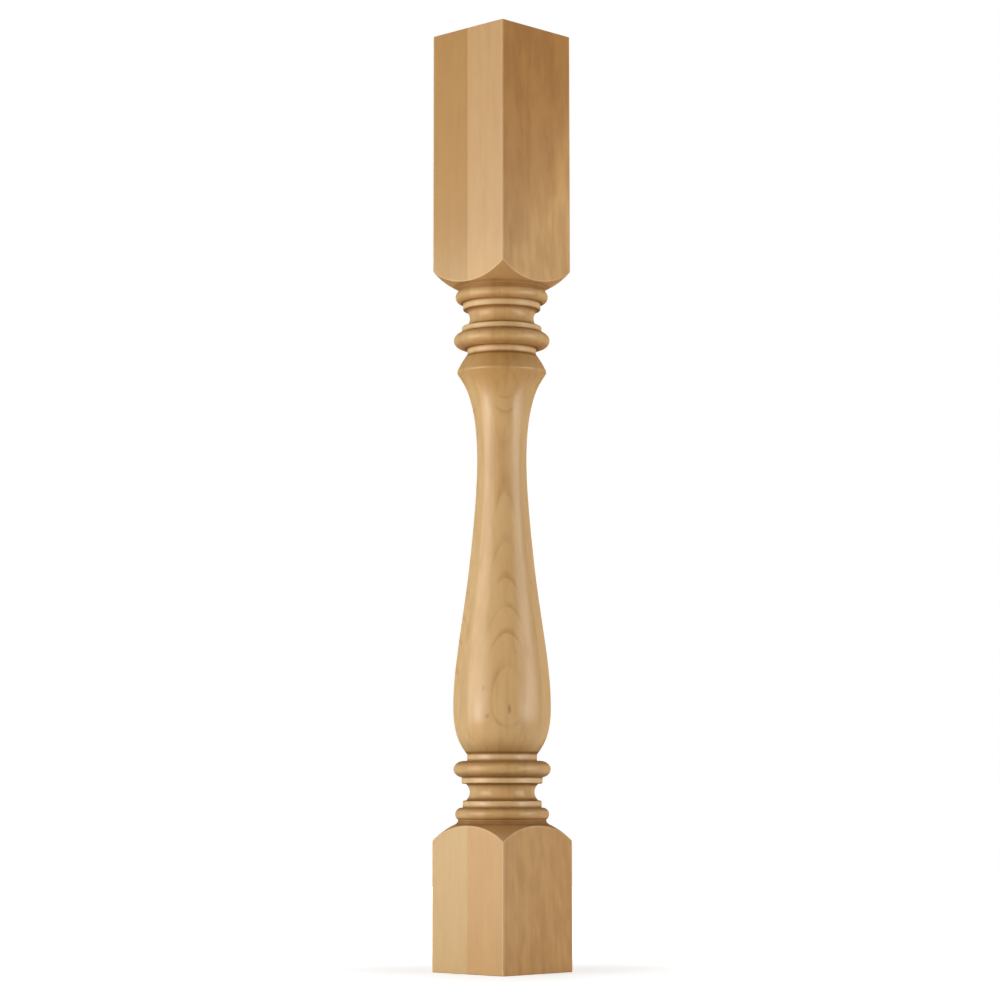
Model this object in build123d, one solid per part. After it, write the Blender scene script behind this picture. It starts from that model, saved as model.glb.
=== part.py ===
from build123d import *
import math
import os

# A turned wooden cabinet column in millimetres. +Z is up, the foot stands on z = 0,
# the axis is at x = y = 0, and the four flat sides face X and Y.

# The square blank
side = 95.25
height = 914.4
foot_block = 124.3
head_block = 235.5
arris_radius = 0.8
end_chamfer = 0.5

# The shoulder, where the lathe cut runs out through the square's corners, and the
# hollow throat that takes it in to the neck
shoulder_height = 15.3
shoulder_bulge = 1.1
throat_reach = 4.7
throat_height = 3.9
throat_hollow = 0.7
neck_radius = 42.5
neck_height = 1.5

# The bead and how far it stands out of the neck, then a fillet with its outer corner
# rounded over
bead_radius = 6.3
bead_swell = 2.65
collar_radius = 38.0
collar_height = 6.8
edge_round = 1.6

# The cove between the two fillets
cove_radius = 35.0
cove_height = 16.0
cove_depth = 3.8

# The second fillet, the torus, and the fillet that carries the vase
band_radius = 39.0
band_height = 5.9
torus_radius = 46.8
torus_root_radius = 36.6
torus_height = 16.0
seat_radius = 33.6
seat_height = 6.8

# The vase: its height above the lower seat as a share of its length, and its radius
vase_stations = [
    (0.0000, 34.2),
    (0.0220, 39.76),
    (0.0568, 44.81),
    (0.1227, 47.12),
    (0.2420, 43.5),
    (0.4091, 34.4),
    (0.5701, 27.6),
    (0.7193, 24.05),
    (0.8177, 25.6),
    (0.8833, 30.25),
    (0.9253, 36.35),
    (0.9536, 43.1),
]
lip_height = 3.0
lip_bulge = 0.4
return_radius = 34.3
return_bulge = 0.5

corner_radius = side / math.sqrt(2)
outside = corner_radius + 2.0


def bulged(start, end, bulge):
    """An arc from start to end that swells by bulge towards the outside."""
    dr, dz = end[0] - start[0], end[1] - start[1]
    chord = math.hypot(dr, dz)
    middle = (
        (start[0] + end[0]) / 2 + bulge * dz / chord,
        (start[1] + end[1]) / 2 - bulge * dr / chord,
    )
    return ThreePointArc(start, middle, end)


def ring_group():
    """The rings from the end of a block's corners to the seat, and their height."""
    edges = []

    # Past the corners there is no wood, so the cut only has to leave the blank
    edges.append(Line((outside, -2.4), (corner_radius, 0)))
    throat = (neck_radius + throat_reach, shoulder_height)
    edges.append(bulged((corner_radius, 0), throat, shoulder_bulge))
    z = shoulder_height + throat_height
    edges.append(bulged(throat, (neck_radius, z), -throat_hollow))
    edges.append(Line((neck_radius, z), (neck_radius, z + neck_height)))
    z += neck_height

    bead_centre = neck_radius + bead_swell - bead_radius
    below = math.degrees(math.acos((neck_radius - bead_centre) / bead_radius))
    rise = bead_radius * math.sin(math.radians(below))
    bead = CenterArc((bead_centre, z + rise), bead_radius, -below, below + 90)
    edges.append(bead)
    z += rise + bead_radius

    edges.append(Line((bead_centre, z), (collar_radius, z)))
    top = z + collar_height
    edges.append(Line((collar_radius, z), (collar_radius, top - edge_round)))
    centre = (collar_radius - edge_round, top - edge_round)
    edges.append(CenterArc(centre, edge_round, 0, 90))
    edges.append(Line((collar_radius - edge_round, top), (cove_radius, top)))
    z = top

    top = z + cove_height
    deepest = (cove_radius - cove_depth, (z + top) / 2)
    edges.append(ThreePointArc((cove_radius, z), deepest, (cove_radius, top)))
    z = top

    edges.append(Line((cove_radius, z), (band_radius - edge_round, z)))
    centre = (band_radius - edge_round, z + edge_round)
    edges.append(CenterArc(centre, edge_round, -90, 90))
    top = z + band_height
    edges.append(Line((band_radius, z + edge_round), (band_radius, top)))
    edges.append(Line((band_radius, top), (torus_root_radius, top)))
    z = top

    swell = torus_radius - torus_root_radius
    centre = (torus_root_radius, z + torus_height / 2)
    half = torus_height / 2
    torus = EllipticalCenterArc(centre, swell, half, -90, arc_size=180)
    edges.append(torus)
    z += torus_height

    edges.append(Line((torus_root_radius, z), (seat_radius, z)))
    edges.append(Line((seat_radius, z), (seat_radius, z + seat_height)))
    z += seat_height
    return Curve() + edges, z


def vase(bottom, top):
    """The vase from the lower seat to the upper one, with the lip near its top."""
    length = top - bottom
    points = [(radius, bottom + share * length) for share, radius in vase_stations]
    swell = Spline(*points)
    lip_start = points[-1]
    lip_end = (lip_start[0], lip_start[1] + lip_height)
    shoulder = (return_radius, top)
    return Curve() + [
        Line((seat_radius, bottom), points[0]),
        swell,
        bulged(lip_start, lip_end, lip_bulge),
        bulged(lip_end, shoulder, return_bulge),
        Line(shoulder, (seat_radius, top)),
    ]


rings, rings_height = ring_group()
foot_end = foot_block
head_end = height - head_block

lower_rings = Pos(0, foot_end) * rings
upper_rings = Pos(0, head_end) * mirror(rings, about=Plane.XZ)
middle = vase(foot_end + rings_height, head_end - rings_height)
ends = Curve() + [
    Line((0, 0), (outside, 0)),
    Line((outside, 0), (outside, foot_end - 2.4)),
    Line((outside, head_end + 2.4), (outside, height)),
    Line((outside, height), (0, height)),
    Line((0, height), (0, 0)),
]

half_section = Plane.XZ * make_face(lower_rings + middle + upper_rings + ends)
turned = revolve(half_section, Axis.Z, 360)

blank = extrude(RectangleRounded(side, side, arris_radius), height)
end_faces = blank.faces().sort_by(Axis.Z)
end_edges = end_faces[0].edges() + end_faces[-1].edges()
blank = chamfer(end_edges, end_chamfer)

column = blank & turned

os.makedirs("parts", exist_ok=True)
export_step(column, "parts/column.step")
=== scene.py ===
import math

import bpy
import numpy as np
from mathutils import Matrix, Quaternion, Vector


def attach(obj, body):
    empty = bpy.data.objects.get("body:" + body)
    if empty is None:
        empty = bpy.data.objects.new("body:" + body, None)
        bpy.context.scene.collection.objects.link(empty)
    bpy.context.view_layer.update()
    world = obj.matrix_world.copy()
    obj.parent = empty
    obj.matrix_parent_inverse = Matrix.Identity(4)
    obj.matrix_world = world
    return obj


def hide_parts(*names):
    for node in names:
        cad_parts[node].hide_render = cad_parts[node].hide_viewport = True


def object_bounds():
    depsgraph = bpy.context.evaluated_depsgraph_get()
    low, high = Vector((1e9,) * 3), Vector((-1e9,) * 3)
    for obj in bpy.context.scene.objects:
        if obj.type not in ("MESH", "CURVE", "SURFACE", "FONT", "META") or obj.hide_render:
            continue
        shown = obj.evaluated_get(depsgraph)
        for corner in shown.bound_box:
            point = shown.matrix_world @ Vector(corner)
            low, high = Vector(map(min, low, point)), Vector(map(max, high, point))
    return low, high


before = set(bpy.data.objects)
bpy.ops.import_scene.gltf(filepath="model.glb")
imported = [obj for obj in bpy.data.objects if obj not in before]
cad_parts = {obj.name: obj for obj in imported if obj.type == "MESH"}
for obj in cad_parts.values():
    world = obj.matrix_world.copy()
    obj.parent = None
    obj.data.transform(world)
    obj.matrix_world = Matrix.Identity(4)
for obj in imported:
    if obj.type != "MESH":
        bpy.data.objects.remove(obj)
cad_low, cad_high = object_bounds()

# Sizes are in millimetres, and MM turns them into the scene's metres
MM = 0.001

# The square blank: its side and height come from the frame
side = (cad_high.x - cad_low.x) / MM
height = (cad_high.z - cad_low.z) / MM
foot_block = 124.3
head_block = 235.5
arris_radius = 0.8
end_chamfer = 0.5
arch_ease = 0.6

# The shoulder, the hollow throat and the neck
shoulder_height = 15.3
shoulder_bulge = 1.1
throat_reach = 4.7
throat_height = 3.9
throat_hollow = 0.7
neck_radius = 42.5
neck_height = 1.5

# The bead and the fillet beside it
bead_radius = 6.3
bead_swell = 2.65
collar_radius = 38.0
collar_height = 6.8
edge_round = 1.6

# The cove
cove_radius = 35.0
cove_height = 16.0
cove_depth = 3.8

# The second fillet, the torus, and the fillet that carries the vase
band_radius = 39.0
band_height = 5.9
torus_radius = 46.8
torus_root_radius = 36.6
torus_height = 16.0
seat_radius = 33.6
seat_height = 6.8

# The vase: its height above the lower seat as a share of its length, and its radius
vase_stations = [
    (0.0000, 34.2),
    (0.0220, 39.76),
    (0.0568, 44.81),
    (0.1227, 47.12),
    (0.2420, 43.5),
    (0.4091, 34.4),
    (0.5701, 27.6),
    (0.7193, 24.05),
    (0.8177, 25.6),
    (0.8833, 30.25),
    (0.9253, 36.35),
    (0.9536, 43.1),
]
lip_height = 3.0
lip_bulge = 0.4
return_radius = 34.3
return_bulge = 0.5

# How finely the forms are divided
face_steps = 28
arris_steps = 6
block_steps = 8
shoulder_steps = 14
throat_steps = 8
bead_steps = 16
round_steps = 5
cove_steps = 18
torus_steps = 30
vase_span_steps = 12
lip_steps = 6
return_steps = 8
sharp_angle = 30

# What follows from the sizes: radii, and the height where the head block's corners end
corner_radius = side / math.sqrt(2)
throat_radius = neck_radius + throat_reach
bead_centre = neck_radius + bead_swell - bead_radius
bead_below = math.acos((neck_radius - bead_centre) / bead_radius)
head_corners = height - head_block

# Heights at which the forms of a ring group end, above the end of the block's corners
throat_end = shoulder_height + throat_height
neck_end = throat_end + neck_height
bead_middle = neck_end + bead_radius * math.sin(bead_below)
bead_end = bead_middle + bead_radius
collar_end = bead_end + collar_height
cove_end = collar_end + cove_height
band_end = cove_end + band_height
torus_end = band_end + torus_height
seat_end = torus_end + seat_height


def arc_circle(start, end, bulge):
    """Centre, radius and half angle of a bulged arc, and its outward and lengthwise directions."""
    start, end = np.array(start), np.array(end)
    length = np.hypot(*(end - start))
    along = (end - start) / length
    outward = np.array([along[1], -along[0]])
    half_turn = 2 * math.atan(2 * bulge / length)
    radius = length / 2 / math.sin(half_turn)
    centre = (start + end) / 2 - outward * radius * math.cos(half_turn)
    return centre, radius, half_turn, outward, along


def bulged(start, end, bulge, steps):
    """Points after start on the arc to end that swells by bulge towards the outside."""
    centre, radius, half_turn, outward, along = arc_circle(start, end, bulge)
    turns = np.linspace(-half_turn, half_turn, steps + 1)[1:]
    return [tuple(centre + radius * (outward * math.cos(t) + along * math.sin(t))) for t in turns]


def turned(centre, reach, rise, first, last, steps):
    """Points after the first on an arc of an ellipse, between two angles in degrees."""
    turns = np.radians(np.linspace(first, last, steps + 1)[1:])
    return [(centre[0] + reach * math.cos(t), centre[1] + rise * math.sin(t)) for t in turns]


def ring_group():
    """The rings from the shoulder's end to the seat's far end, as (radius, height)."""
    points = [(throat_radius, shoulder_height)]
    points += bulged(points[0], (neck_radius, throat_end), -throat_hollow, throat_steps)
    points.append((neck_radius, neck_end))
    below = math.degrees(bead_below)
    points += turned((bead_centre, bead_middle), bead_radius, bead_radius, -below, 90, bead_steps)

    points.append((collar_radius, bead_end))
    points.append((collar_radius, collar_end - edge_round))
    centre = (collar_radius - edge_round, collar_end - edge_round)
    points += turned(centre, edge_round, edge_round, 0, 90, round_steps)

    points.append((cove_radius, collar_end))
    points += bulged(points[-1], (cove_radius, cove_end), -cove_depth, cove_steps)

    points.append((band_radius - edge_round, cove_end))
    centre = (band_radius - edge_round, cove_end + edge_round)
    points += turned(centre, edge_round, edge_round, -90, 0, round_steps)
    points.append((band_radius, band_end))

    points.append((torus_root_radius, band_end))
    centre = (torus_root_radius, band_end + torus_height / 2)
    swell = torus_radius - torus_root_radius
    points += turned(centre, swell, torus_height / 2, -90, 90, torus_steps)

    points.append((seat_radius, torus_end))
    points.append((seat_radius, seat_end))
    return points


def smooth_curve(points, steps):
    """Points on the cubic spline through points, with steps to each span."""
    points = np.array(points)
    spans = np.hypot(*np.diff(points, axis=0).T)
    last = len(points) - 1
    system = np.eye(last + 1)
    target = np.zeros_like(points)
    for k in range(1, last):
        before, after = spans[k - 1], spans[k]
        system[k, k - 1:k + 2] = before, 2 * (before + after), after
        rise_after = (points[k + 1] - points[k]) / after
        rise_before = (points[k] - points[k - 1]) / before
        target[k] = 6 * (rise_after - rise_before)
    bend = np.linalg.solve(system, target)
    curve = [tuple(points[0])]
    for k in range(last):
        width = spans[k]
        for t in np.linspace(0, 1, steps + 1)[1:]:
            a, b = 1 - t, t
            pull = (a**3 - a) * bend[k] + (b**3 - b) * bend[k + 1]
            curve.append(tuple(a * points[k] + b * points[k + 1] + pull * width**2 / 6))
    return curve


def vase(bottom, top):
    """The vase from the lower seat to the upper one, with the lip near its top."""
    stations = [(radius, bottom + share * (top - bottom)) for share, radius in vase_stations]
    points = smooth_curve(stations, vase_span_steps)
    lip_start = points[-1]
    lip_end = (lip_start[0], lip_start[1] + lip_height)
    points += bulged(lip_start, lip_end, lip_bulge, lip_steps)
    points += bulged(lip_end, (return_radius, top), return_bulge, return_steps)
    return points


def blank_outline():
    """The blank's section with its eased arrises, anticlockwise, as an array of (x, y)."""
    half = side / 2
    inner = half - arris_radius
    flat_turn = math.atan(inner / half)
    points = []
    for quarter in range(4):
        flat = half * np.tan(np.linspace(-flat_turn, flat_turn, face_steps + 1))
        corner = np.radians(np.linspace(0, 90, arris_steps + 1)[1:-1])
        xs = [half] * len(flat) + list(inner + arris_radius * np.cos(corner))
        ys = list(flat) + list(inner + arris_radius * np.sin(corner))
        turn = quarter * math.pi / 2
        for x, y in zip(xs, ys):
            points.append((
                x * math.cos(turn) - y * math.sin(turn),
                x * math.sin(turn) + y * math.cos(turn),
            ))
    return np.array(points)


def shoulder_arc():
    """Centre and radius of the shoulder's arc, above the end of the corners."""
    start, end = (corner_radius, 0), (throat_radius, shoulder_height)
    return arc_circle(start, end, shoulder_bulge)[:2]


def shoulder_rise(radii):
    """Height of the shoulder above the end of the corners, at each radius."""
    centre, arc_radius = shoulder_arc()
    return centre[1] + np.sqrt(arc_radius**2 - (radii - centre[0]) ** 2)


def block_rows(outline, block):
    """Rows of points along a block from its end face, and over its shoulder to the throat."""
    reach = np.hypot(*outline.T)
    inset = 1 - end_chamfer / (side / 2)
    rows = [np.column_stack([outline * inset, np.zeros(len(outline))])]
    arch = block + shoulder_rise(reach)
    flat_end = arch - arch_ease
    for share in np.linspace(0, 1, block_steps + 1):
        rows.append(np.column_stack([outline, end_chamfer + share * (flat_end - end_chamfer)]))
    direction = outline / reach[:, None]
    eased = reach - np.minimum(arch_ease, (reach - throat_radius) / 2)
    eased_rise = block + shoulder_rise(eased)
    # The arch's eased edge is a curve from the flat side to the shoulder
    for t in (1 / 3, 2 / 3):
        radii = reach * (1 - t * t) + eased * t * t
        heights = flat_end * (1 - t) ** 2 + arch * 2 * t * (1 - t) + eased_rise * t * t
        rows.append(np.column_stack([direction * radii[:, None], heights]))
    for share in np.linspace(0, 1, shoulder_steps + 1):
        radii = eased + share * (throat_radius - eased)
        rows.append(np.column_stack([direction * radii[:, None], block + shoulder_rise(radii)]))
    return rows


def column_rows():
    """Every row of points, from the foot's end face to the head's."""
    outline = blank_outline()
    direction = outline / np.hypot(*outline.T)[:, None]
    foot_rings = [(r, foot_block + z) for r, z in ring_group()]
    head_rings = [(r, head_corners - z) for r, z in ring_group()[::-1]]
    turning = foot_rings + vase(foot_rings[-1][1], head_rings[0][1]) + head_rings
    rows = block_rows(outline, foot_block)
    for radius, z in turning[1:-1]:
        rows.append(np.column_stack([direction * radius, np.full(len(outline), z)]))
    for row in block_rows(outline, head_block)[::-1]:
        rows.append(row * (1, 1, -1) + (0, 0, height))
    return rows


def build_column():
    """The whole post as one mesh, in place of the CAD solid."""
    rows = column_rows()
    around = len(rows[0])
    points = np.vstack(rows + [[(0, 0, 0), (0, 0, height)]]) * MM
    faces = []
    for row in range(len(rows) - 1):
        for k in range(around):
            after = (k + 1) % around
            low, high = row * around, (row + 1) * around
            faces.append((low + k, low + after, high + after, high + k))
    bottom, top = len(points) - 2, len(points) - 1
    last = (len(rows) - 1) * around
    for k in range(around):
        after = (k + 1) % around
        faces.append((bottom, after, k))
        faces.append((top, last + k, last + after))
    mesh = bpy.data.meshes.new("turned_column")
    mesh.from_pydata(points.tolist(), [], faces)
    mesh.polygons.foreach_set("use_smooth", [True] * len(mesh.polygons))
    mesh.set_sharp_from_angle(angle=math.radians(sharp_angle))
    mesh.validate()
    column = bpy.data.objects.new("turned_column", mesh)
    bpy.context.collection.objects.link(column)
    weighted = column.modifiers.new("Weighted normals", "WEIGHTED_NORMAL")
    weighted.keep_sharp = True
    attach(column, "root")
    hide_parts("column")
    return column


class Graph:
    """Short calls that add nodes. A value is a number or another node's output."""

    def __init__(self, tree):
        self.tree = tree

    def put(self, value, socket):
        if isinstance(value, bpy.types.NodeSocket):
            self.tree.links.new(value, socket)
        else:
            socket.default_value = value

    def math(self, operation, a, b=0.0, c=0.0):
        """The node's result for up to three numbers."""
        node = self.tree.nodes.new("ShaderNodeMath")
        node.operation = operation
        for value, socket in zip((a, b, c), node.inputs):
            self.put(value, socket)
        return node.outputs[0]

    def vector(self, operation, a, b=(0.0, 0.0, 0.0)):
        """The node's result for up to two vectors."""
        node = self.tree.nodes.new("ShaderNodeVectorMath")
        node.operation = operation
        self.put(a, node.inputs[0])
        self.put(b, node.inputs[1])
        is_number = operation in ("LENGTH", "DOT_PRODUCT")
        return node.outputs["Value" if is_number else "Vector"]

    def join(self, x, y, z):
        node = self.tree.nodes.new("ShaderNodeCombineXYZ")
        for value, socket in zip((x, y, z), node.inputs):
            self.put(value, socket)
        return node.outputs["Vector"]

    def noise(self, place, detail=2.0, roughness=0.5):
        """Noise in space, with one grain to each unit of place."""
        node = self.tree.nodes.new("ShaderNodeTexNoise")
        node.inputs["Scale"].default_value = 1.0
        node.inputs["Detail"].default_value = detail
        node.inputs["Roughness"].default_value = roughness
        self.put(place, node.inputs["Vector"])
        return node.outputs["Fac"]

    def noise_along(self, value, detail=1.0):
        """Noise that changes with one number only."""
        node = self.tree.nodes.new("ShaderNodeTexNoise")
        node.noise_dimensions = "1D"
        node.inputs["Scale"].default_value = 1.0
        node.inputs["Detail"].default_value = detail
        self.put(value, node.inputs["W"])
        return node.outputs["Fac"]

    def smooth(self, value, low, high, to_low=0.0, to_high=1.0):
        """A smooth step from to_low, where value is low, to to_high, where it is high."""
        node = self.tree.nodes.new("ShaderNodeMapRange")
        node.interpolation_type = "SMOOTHSTEP"
        for setting, socket in zip((value, low, high, to_low, to_high), node.inputs):
            self.put(setting, socket)
        return node.outputs["Result"]

    def mix(self, share, a, b, blend="MIX"):
        """Colour a where share is 0 and b where it is 1."""
        node = self.tree.nodes.new("ShaderNodeMix")
        node.data_type = "RGBA"
        node.blend_type = blend
        self.put(share, node.inputs[0])
        # The node's colours are its sockets 6 and 7, and its numbers are 2 and 3
        for colour, socket in ((a, 6), (b, 7)):
            is_output = isinstance(colour, bpy.types.NodeSocket)
            self.put(colour if is_output else (*colour, 1.0), node.inputs[socket])
        return node.outputs[2]

    def tint(self, share, colour, tint):
        """The colour, multiplied by tint as far as share says."""
        return self.mix(share, colour, self.mix(1.0, colour, tint, "MULTIPLY"))

    def choose(self, share, a, b):
        """Number a where share is 0 and b where it is 1."""
        node = self.tree.nodes.new("ShaderNodeMix")
        for value, socket in ((share, 0), (a, 2), (b, 3)):
            self.put(value, node.inputs[socket])
        return node.outputs[0]

    def greatest(self, values):
        """The greatest of a list of values."""
        result = values[0]
        for value in values[1:]:
            result = self.math("MAXIMUM", result, value)
        return result

    def product(self, values):
        """The product of a list of values."""
        result = values[0]
        for value in values[1:]:
            result = self.math("MULTIPLY", result, value)
        return result


# The wood. Colours are linear, and places in the wood are in millimetres.
# The post is glued up from two boards that meet at x = 0, the back one on the -X side.
back_board_foot = (0.60, 0.395, 0.175)
back_board_vase = (0.575, 0.378, 0.166)
back_board_head = (0.445, 0.24, 0.073)
front_board_foot = (0.575, 0.335, 0.13)
front_board_vase = (0.64, 0.40, 0.17)
front_board_head = (0.565, 0.34, 0.148)
board_blend = 60.0

# What these colours are multiplied by: on the front board's wide side, on the rings (painted
# shade), where late wood, fibre, mottle or end grain shows, and in a crease (painted shade)
wide_side_foot = (0.975, 0.91, 0.71)
wide_side_head = (0.86, 0.66, 0.32)
pale_patch = (1.27, 1.35, 1.54)
ring_shade_tint = (0.87, 0.81, 0.66)
late_wood = (0.70, 0.60, 0.48)
fibre_dark = (0.84, 0.77, 0.66)
mottle_dark = (0.80, 0.72, 0.60)
end_grain_foot = (0.54, 0.44, 0.31)
end_grain = (0.78, 0.66, 0.52)
painted_crease_shade = (0.42, 0.30, 0.17)

# Knots have a colour of their own, and so does the painted highlight on the edges and fillets
knot_brown = (0.33, 0.155, 0.052)
painted_highlight_colour = (0.78, 0.55, 0.29)
edge_highlight_paleness = 0.3
fillet_highlight_paleness = 0.4

# Heights between which a look changes. The first two are along slanting lines.
wide_side_change = (640.0, 890.0)
patch_fades_up = (690.0, 770.0)
patch_fades_down = (675.0, 725.0)
end_grain_change = (205.0, 260.0)

# The growth rings are faint at one level: its height, and how far off they're clear again
faint_level = 507.0
faint_reach = (10.0, 32.0)

# Distances past the end of a block's corners between which a look changes
block_ends = (12.0, 18.0)
ring_tint_starts = (13.0, 20.0)
foot_tint_fades = (86.0, 104.0)
head_tint_grows = (78.0, 90.0)
head_tint_fades = (96.0, 165.0)
figure_grows = (60.0, 100.0)

# Growth rings are round about each board's pith, which lies outside the post. The front
# board's rings face one azimuth. Its pith leans, and at one level it lies a certain depth
# behind the axis, while one ring stands a certain reach in front of it.
ring_width = 3.42
ring_warp = 0.7
ring_unevenness = 0.2
ring_darkens = 0.62
ring_darkest = 0.93
front_ring_facing = 50.6
front_ring_depth = 110.0
front_ring_reach = 26.9
front_ring_level = 354.0
front_ring_lean = 0.015
back_pith = (64.0, 96.0)

# Noise: how many grains to a millimetre across the wood and along it
warp_grain = (0.011, 0.011, 0.0034)
fibre_grain = (1.5, 1.5, 0.018)
streak_grain = (0.11, 0.11, 0.004)
figure_grain = (0.045, 0.045, 0.03)
mottle_broad = (0.07, 0.07, 0.022)
mottle_fine = (0.20, 0.20, 0.050)
mottle_lean = 0.06

# Pin knots on the vase: height, azimuth in degrees from the -Y side, radius there,
# radius of the knot, how many times taller it is than wide, and its strength
knots = [
    (269.5, 21.6, 46.6, 1.3, 2.2, 0.35),
    (243.0, 26.6, 46.8, 1.8, 1.1, 0.5),
    (249.5, 52.6, 47.1, 1.6, 3.0, 0.75),
    (304.5, 61.6, 43.1, 1.6, 1.2, 0.15),
    (456.5, 55.1, 25.4, 1.2, 1.3, 0.2),
]

# Where shade is painted into the creases and hollows of the rings: radius, height, reach and
# strength
painted_shade_creases = [
    (neck_radius + 1.4, shoulder_height + throat_height * 0.6, 5.5, 0.5),
    (neck_radius, throat_end, 2.8, 0.85),
    (neck_radius, neck_end, 2.0, 0.35),
    (bead_centre - 0.5, bead_end, 3.0, 0.7),
    (cove_radius, collar_end + 0.8, 4.2, 0.75),
    (cove_radius + 0.5, cove_end - 0.2, 4.0, 0.75),
    (torus_root_radius + 1.0, band_end + 0.4, 3.0, 0.95),
    (seat_radius + 1.0, torus_end, 3.2, 0.7),
    (seat_radius + 0.5, seat_end + 0.8, 3.6, 0.85),
]

# The three fillets of a ring group: the height at which each starts and ends
fillets = [(bead_end, collar_end), (cove_end, band_end), (torus_end, seat_end)]

# The finish
base_roughness = 0.30
glancing_roughness = 0.4
wood_ior = 1.5
specular_level = 0.30
fibre_depth = 0.03


def facing(azimuth):
    """Direction out of the post at an azimuth in degrees: 0 is -Y and 90 is +X."""
    return math.sin(math.radians(azimuth)), -math.cos(math.radians(azimuth))


class Wood:
    """Where a point of the wood lies and how it faces, as node outputs in millimetres."""

    def __init__(self, g):
        coordinates = g.tree.nodes.new("ShaderNodeTexCoord").outputs["Object"]
        self.place = g.vector("MULTIPLY", coordinates, [1 / MM] * 3)
        split = g.tree.nodes.new("ShaderNodeSeparateXYZ")
        g.put(self.place, split.inputs[0])
        self.x, self.y, self.z = split.outputs
        self.radius = g.vector("LENGTH", g.vector("MULTIPLY", self.place, (1.0, 1.0, 0.0)))
        self.normal = g.tree.nodes.new("ShaderNodeNewGeometry").outputs["Normal"]
        sideways = g.math("ABSOLUTE", g.vector("DOT_PRODUCT", self.normal, (1.0, 0.0, 0.0)))
        lengthwise = g.math("ABSOLUTE", g.vector("DOT_PRODUCT", self.normal, (0.0, 0.0, 1.0)))
        self.across_grain = g.smooth(lengthwise, 0.25, 1.0)

        # Height past the end of the nearer block's corners
        self.above_foot = g.math("SUBTRACT", self.z, foot_block)
        self.below_head = g.math("SUBTRACT", head_corners, self.z)
        self.local = g.math("MINIMUM", self.above_foot, self.below_head)

        # The boards' wide sides are the post's X sides. The others show the most even grain.
        self.in_front_board = g.math("GREATER_THAN", self.x, 0.0)
        on_block = g.smooth(self.local, *block_ends, 1.0, 0.0)
        self.on_wide_side = g.math("MULTIPLY", g.smooth(sideways, 0.4, 0.95), on_block)
        calm = g.math("MULTIPLY", g.smooth(sideways, 0.1, 0.6, 0.65, 0.0), on_block)
        self.lively = g.math("SUBTRACT", 1.0, calm)


def board_tone(g, wood, foot, vase, head):
    """A board's colour, which changes a little over its length."""
    up_vase = g.smooth(wood.z, foot_block, foot_block + board_blend)
    up_head = g.smooth(wood.z, head_corners - board_blend, head_corners + board_blend)
    return g.mix(up_head, g.mix(up_vase, foot, vase), head)


def board_colour(g, wood):
    """Colour of the two boards before any figure."""
    front = board_tone(g, wood, front_board_foot, front_board_vase, front_board_head)
    slant = g.math("MULTIPLY_ADD", wood.y, -0.7, wood.z)
    tint = g.mix(g.smooth(slant, *wide_side_change), wide_side_foot, wide_side_head)
    front = g.tint(wood.on_wide_side, front, tint)
    # The head block's wide side is palest low down, towards its far side
    slant = g.math("MULTIPLY_ADD", wood.y, -2.0, wood.z)
    pale = g.product([
        g.smooth(slant, *patch_fades_up, 1.0, 0.0),
        wood.on_wide_side,
        g.smooth(wood.z, *patch_fades_down, 0.25, 1.0),
        g.math("GREATER_THAN", wood.z, height / 2),
    ])
    front = g.tint(pale, front, pale_patch)
    back = board_tone(g, wood, back_board_foot, back_board_vase, back_board_head)
    colour = g.mix(wood.in_front_board, back, front)

    # Painted shade: the ring groups and the vase's top are darkened and browned
    by_foot = g.smooth(wood.above_foot, *foot_tint_fades, 0.55, 0.0)
    by_head = g.math(
        "MULTIPLY",
        g.smooth(wood.below_head, *head_tint_grows, 0.55, 1.0),
        g.smooth(wood.below_head, *head_tint_fades, 1.0, 0.0),
    )
    past_block = g.smooth(wood.local, *ring_tint_starts)
    ring_shade_share = g.math("MULTIPLY", past_block, g.math("MAXIMUM", by_foot, by_head))
    return g.tint(ring_shade_share, colour, ring_shade_tint)


def growth_rings(g, wood, pith, lean, start, seed):
    """Late-wood line and slow tone of the rings about a leaning pith, both from 0 to 1."""
    along_x = g.vector("DOT_PRODUCT", wood.place, (1.0, 0.0, lean[0]))
    along_y = g.vector("DOT_PRODUCT", wood.place, (0.0, 1.0, lean[1]))
    from_x = g.math("SUBTRACT", along_x, pith[0])
    from_y = g.math("SUBTRACT", along_y, pith[1])
    across = g.join(from_x, from_y, 0.0)
    slow_place = g.vector("MULTIPLY", wood.place, warp_grain)
    warp = g.noise(g.vector("ADD", slow_place, (seed, seed * 2.0, 0.0)))
    distance = g.vector("LENGTH", across)
    distance = g.math("MULTIPLY_ADD", g.math("SUBTRACT", warp, 0.5), ring_warp, distance)
    count = g.math("DIVIDE", g.math("SUBTRACT", distance, start), ring_width)
    # Counting from a hundred keeps the count above zero
    count = g.math("ADD", count, 100.0)
    uneven = g.math("SUBTRACT", g.noise_along(g.math("MULTIPLY", count, 0.43)), 0.5)
    count = g.math("ADD", count, g.math("MULTIPLY", uneven, ring_unevenness))
    phase = g.math("FRACT", count)
    rise = g.smooth(phase, ring_darkens, ring_darkest)
    fall = g.smooth(phase, ring_darkest, 1.0, 1.0, 0.0)
    tone = g.noise_along(g.math("MULTIPLY", count, 0.21), detail=2.0)
    # A line is broad and clear only where the surface runs along the ring
    along = g.vector("DOT_PRODUCT", wood.normal, g.vector("NORMALIZE", across))
    clear = g.smooth(g.math("ABSOLUTE", along), 0.925, 0.99, 0.05, 1.0)
    return g.product([rise, fall, clear]), tone


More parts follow.
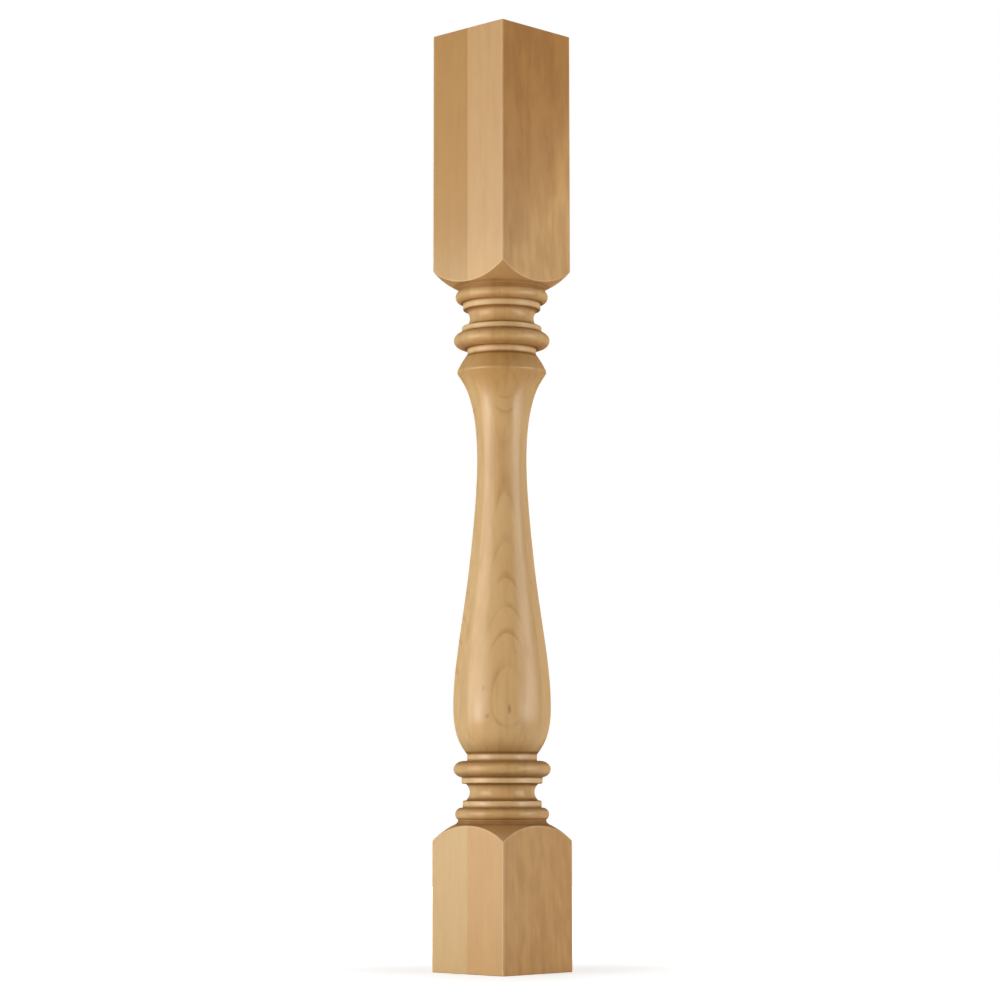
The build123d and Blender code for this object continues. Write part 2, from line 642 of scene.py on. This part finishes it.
def both_boards_rings(g, wood):
    """Line and tone of the growth rings in whichever board a point is."""
    out = facing(front_ring_facing)
    pith_out = front_ring_lean * front_ring_level - front_ring_depth
    pith = (out[0] * pith_out, out[1] * pith_out)
    lean = (out[0] * front_ring_lean, out[1] * front_ring_lean)
    start = front_ring_depth + front_ring_reach
    front = growth_rings(g, wood, pith, lean, start, 3.0)
    back = growth_rings(g, wood, back_pith, (0.0, 0.0), 0.0, 11.0)
    return [g.choose(wood.in_front_board, b, f) for b, f in zip(back, front)]


def late_wood_share(g, wood, line):
    """How strongly the late wood shows: it comes and goes, mostly on the vase."""
    figure = g.noise(g.vector("MULTIPLY", wood.place, figure_grain))
    from_faint = g.math("ABSOLUTE", g.math("SUBTRACT", wood.z, faint_level))
    return g.product([
        line,
        g.smooth(figure, 0.35, 0.65, 0.1, 0.6),
        g.smooth(wood.local, *figure_grows, 0.15, 1.0),
        g.smooth(from_faint, *faint_reach, 0.35, 1.0),
    ])


def fibre_share(g, wood, fibre, tone):
    """Fine fibres, long streaks and the slow tone of the rings."""
    streak = g.noise(g.vector("MULTIPLY", wood.place, streak_grain))
    shown = g.greatest([
        g.smooth(fibre, 0.50, 0.85, 0.0, 0.7),
        g.smooth(streak, 0.42, 0.75, 0.0, 0.8),
        g.smooth(tone, 0.35, 0.7, 0.0, 0.25),
    ])
    return g.math("MULTIPLY", shown, g.math("MULTIPLY_ADD", wood.on_wide_side, -0.4, wood.lively))


def mottle_share(g, wood):
    """Soft leaning patches, strongest on the wide sides of the blocks."""
    lean = g.join(0.0, g.math("MULTIPLY", wood.z, mottle_lean), 0.0)
    leaning = g.vector("ADD", wood.place, lean)
    broad = g.noise(g.vector("MULTIPLY", leaning, mottle_broad), detail=1.0)
    fine = g.noise(g.vector("MULTIPLY", leaning, mottle_fine), detail=1.5)
    mottle = g.math("MULTIPLY_ADD", broad, 0.6, g.math("MULTIPLY", fine, 0.4))
    return g.product([
        g.smooth(mottle, 0.38, 0.66),
        g.math("MULTIPLY_ADD", wood.on_wide_side, 0.42, 0.28),
        g.math("MULTIPLY_ADD", wood.lively, 0.5, 0.5),
    ])


def knot_share(g, wood):
    """Pin knots, darkest in the middle."""
    spots = []
    for level, azimuth, reach, size, tall, strength in knots:
        out = facing(azimuth)
        to_knot = g.vector("SUBTRACT", wood.place, (out[0] * reach, out[1] * reach, level))
        near = g.vector("LENGTH", g.vector("MULTIPLY", to_knot, (1.0, 1.0, 1.0 / tall)))
        spots.append(g.smooth(near, size * 0.2, size * 1.5, strength, 0.0))
    return g.greatest(spots)


def painted_fillet_highlight_share(g, wood):
    """A painted highlight on the fillets."""
    bands = []
    for start, end in fillets:
        away = g.math("ABSOLUTE", g.math("SUBTRACT", wood.local, (start + end) / 2))
        half = (end - start) / 2
        bands.append(g.smooth(away, half - 2.0, half, fillet_highlight_paleness, 0.0))
    return g.greatest(bands)


def painted_crease_shade_share(g, wood):
    """Painted shade in the creases and hollows between the rings."""
    shades = []
    for radius, level, reach, strength in painted_shade_creases:
        out = g.math("SUBTRACT", wood.radius, radius)
        up = g.math("SUBTRACT", wood.local, level)
        away = g.vector("LENGTH", g.join(out, up, 0.0))
        shades.append(g.smooth(away, 0.3, reach, strength, 0.0))
    return g.greatest(shades)


def painted_edge_highlight_share(g, wood):
    """A painted highlight along the arrises and the edges of the arches."""
    centre, arc_radius = shoulder_arc()
    inward = g.math("SUBTRACT", wood.radius, float(centre[0]))
    under = g.math("SUBTRACT", arc_radius**2, g.math("MULTIPLY", inward, inward))
    arch = g.math("ADD", g.math("SQRT", under), float(centre[1]))
    short_of_arch = g.math("SUBTRACT", arch, wood.local)
    flat = g.math("MAXIMUM", g.math("ABSOLUTE", wood.x), g.math("ABSOLUTE", wood.y))
    on_flat = g.math("GREATER_THAN", flat, side / 2 - arch_ease * 0.6)
    edge = g.math("MULTIPLY", g.smooth(short_of_arch, 0.3, 1.6, edge_highlight_paleness, 0.0), on_flat)
    arris = g.smooth(wood.radius, corner_radius - 1.6, corner_radius - 0.6, 0.0, edge_highlight_paleness)
    return g.math("MAXIMUM", edge, arris)


def maple():
    """The wood: two boards, their figure and knots, painted shade in the creases and on the rings,
    painted highlights on the arrises, arch edges and fillets, and a satin finish.
    """
    material = bpy.data.materials.new("maple")
    material.use_nodes = True
    nodes = material.node_tree.nodes
    g = Graph(material.node_tree)
    wood = Wood(g)
    fibre_place = g.vector("MULTIPLY", wood.place, fibre_grain)
    fibre = g.noise(fibre_place, detail=4.0, roughness=0.6)
    line, tone = both_boards_rings(g, wood)
    crease_shade_mask = painted_crease_shade_share(g, wood)
    end_tint = g.mix(g.smooth(wood.z, *end_grain_change), end_grain_foot, end_grain)

    colour = board_colour(g, wood)
    colour = g.tint(late_wood_share(g, wood, line), colour, late_wood)
    colour = g.tint(fibre_share(g, wood, fibre, tone), colour, fibre_dark)
    colour = g.tint(mottle_share(g, wood), colour, mottle_dark)
    colour = g.mix(knot_share(g, wood), colour, knot_brown)
    colour = g.tint(wood.across_grain, colour, end_tint)
    # Painted highlight: the fillets are made paler
    colour = g.mix(painted_fillet_highlight_share(g, wood), colour, painted_highlight_colour)
    # Painted shade: the creases and hollows between the rings are darkened
    colour = g.tint(crease_shade_mask, colour, painted_crease_shade)
    # Painted highlight: the arrises and the arches' edges are made paler
    colour = g.mix(painted_edge_highlight_share(g, wood), colour, painted_highlight_colour)

    # A satin finish throws back less of what it is seen against at a glancing angle
    glance = nodes.new("ShaderNodeLayerWeight").outputs["Facing"]
    rough = g.math("MULTIPLY_ADD", g.math("SUBTRACT", fibre, 0.5), 0.12, base_roughness)
    rough = g.math("MULTIPLY_ADD", wood.across_grain, 0.15, rough)
    rough = g.math("MULTIPLY_ADD", crease_shade_mask, 0.5, rough)
    rough = g.math("ADD", rough, g.smooth(glance, 0.3, 0.8, 0.0, glancing_roughness))

    bump = nodes.new("ShaderNodeBump")
    bump.inputs["Distance"].default_value = fibre_depth * MM
    bump.inputs["Strength"].default_value = 0.6
    g.put(fibre, bump.inputs["Height"])

    surface = nodes["Principled BSDF"].inputs
    g.put(colour, surface["Base Color"])
    g.put(rough, surface["Roughness"])
    g.put(wood_ior, surface["IOR"])
    g.put(specular_level, surface["Specular IOR Level"])
    g.put(bump.outputs["Normal"], surface["Normal"])
    return material


# The floor is white to the camera, and keeps the post's shadow
floor_width = 12.0
floor_colour = (0.60, 0.60, 0.60, 1.0)
floor_glow_near = 0.56
floor_glow_far = 1.0
floor_glow_grows = (0.06, 0.45)


def seen_directly(g):
    """1 for rays from the camera, and for those that gloss or glass sends on."""
    path = g.tree.nodes.new("ShaderNodeLightPath").outputs
    rays = [path["Is Camera Ray"], path["Is Glossy Ray"], path["Is Transmission Ray"]]
    return g.greatest(rays)


def build_floor():
    """A wide floor, a little less white where the post's shadow falls."""
    half = floor_width / 2
    mesh = bpy.data.meshes.new("floor")
    corners = [(-half, -half, 0), (half, -half, 0), (half, half, 0), (-half, half, 0)]
    mesh.from_pydata(corners, [], [(0, 1, 2, 3)])
    floor = bpy.data.objects.new("floor", mesh)
    bpy.context.collection.objects.link(floor)
    material = bpy.data.materials.new("floor")
    material.use_nodes = True
    tree = material.node_tree
    g = Graph(tree)
    surface = tree.nodes["Principled BSDF"]
    surface.inputs["Base Color"].default_value = floor_colour
    surface.inputs["Roughness"].default_value = 0.9
    surface.inputs["Specular IOR Level"].default_value = 0.0
    coordinates = tree.nodes.new("ShaderNodeTexCoord").outputs["Object"]
    away = g.vector("LENGTH", coordinates)
    glow = tree.nodes.new("ShaderNodeEmission")
    strength = g.smooth(away, *floor_glow_grows, floor_glow_near, floor_glow_far)
    g.put(g.math("MULTIPLY", strength, seen_directly(g)), glow.inputs["Strength"])
    both = tree.nodes.new("ShaderNodeAddShader")
    tree.links.new(surface.outputs[0], both.inputs[0])
    tree.links.new(glow.outputs[0], both.inputs[1])
    tree.links.new(both.outputs[0], tree.nodes["Material Output"].inputs["Surface"])
    mesh.materials.append(material)


# The room's own light is strongest at eye level and weak overhead
fill_level = 0.04
fill_overhead = 0.01
fill_fades = (0.1, 0.9)


def build_world():
    """White where it is seen, and a weak fill light otherwise."""
    world = bpy.data.worlds.new("studio")
    bpy.context.scene.world = world
    world.use_nodes = True
    tree = world.node_tree
    g = Graph(tree)
    direction = tree.nodes.new("ShaderNodeTexCoord").outputs["Generated"]
    upward = g.vector("DOT_PRODUCT", direction, (0.0, 0.0, 1.0))
    fill = g.smooth(upward, *fill_fades, fill_level, fill_overhead)
    background = tree.nodes["Background"].inputs
    g.put(g.math("MAXIMUM", fill, seen_directly(g)), background["Strength"])
    background["Color"].default_value = (1.0, 1.0, 1.0, 1.0)


# The camera is fitted to the photograph, in metres and degrees
camera_azimuth = 44.13
camera_distance = 2.742
camera_height = 0.1661
camera_tilt = 5.99
camera_pan = 0.038
camera_roll = 0.05
focal_pixels = 2835.1
frame_pixels = 1000.0
sensor_width = 36.0


def build_camera():
    """The camera, turned towards the post and tilted up a little."""
    data = bpy.data.cameras.new("camera")
    data.sensor_width = sensor_width
    data.lens = focal_pixels / frame_pixels * sensor_width
    camera = bpy.data.objects.new("camera", data)
    out = facing(camera_azimuth)
    camera.location = (out[0] * camera_distance, out[1] * camera_distance, camera_height)
    look = facing(camera_azimuth - 180 + camera_pan)
    tilt = math.radians(camera_tilt)
    forward = Vector((look[0] * math.cos(tilt), look[1] * math.cos(tilt), math.sin(tilt)))
    turn = Quaternion(forward, math.radians(camera_roll))
    camera.rotation_euler = (turn @ forward.to_track_quat("-Z", "Y")).to_euler()
    bpy.context.collection.objects.link(camera)
    bpy.context.scene.camera = camera


# Lamps round the post: name, azimuth from the camera's, distance, height, width, tallness
# and power, and whether diffuse light and gloss come from it
lamps = [
    ("left_softbox", -63, 1.5, 0.48, 1.4, 1.2, 26.5, True, True),
    ("right_softbox", 69, 1.5, 0.46, 1.0, 1.2, 17.3, True, True),
    ("front_fill", -8, 3.2, 0.6, 2.4, 2.0, 7.0, True, True),
    ("rear_fill", 180, 2.6, 0.6, 2.2, 1.4, 42.0, True, False),
    # Two small low lamps add the gloss on the vase's belly
    ("left_gloss", -58, 1.5, 0.17, 0.45, 0.15, 4.4, False, True),
    ("right_gloss", 55, 1.5, 0.17, 0.3, 0.15, 3.4, False, True),
]

# A small lamp straight above reaches the head's end face, and hardly anything below it
overhead_distance = 1.4
overhead_width = 0.5
overhead_power = 10.0


def area_light(name, spot, turn, width, tall, power):
    """An area light that the camera doesn't see."""
    data = bpy.data.lights.new(name, "AREA")
    data.shape = "RECTANGLE"
    data.size = width
    data.size_y = tall
    data.energy = power
    light = bpy.data.objects.new(name, data)
    light.location = spot
    light.rotation_euler = turn
    light.visible_camera = False
    bpy.context.collection.objects.link(light)
    return light


def build_lamps():
    """The upright lamps, which face the post's axis, and the one overhead."""
    for name, azimuth, distance, level, width, tall, power, diffuse, gloss in lamps:
        out = facing(camera_azimuth + azimuth)
        spot = (out[0] * distance, out[1] * distance, level)
        turn = Vector((-out[0], -out[1], 0)).to_track_quat("-Z", "Y").to_euler()
        light = area_light(name, spot, turn, width, tall, power)
        light.visible_diffuse = diffuse
        light.visible_glossy = gloss
    above = (0, 0, height * MM + overhead_distance)
    area_light("overhead_lamp", above, (0, 0, 0), overhead_width, overhead_width, overhead_power)


column = build_column()
column.data.materials.append(maple())
build_floor()
build_world()
build_camera()
build_lamps()
bpy.context.scene.view_settings.view_transform = "Standard"
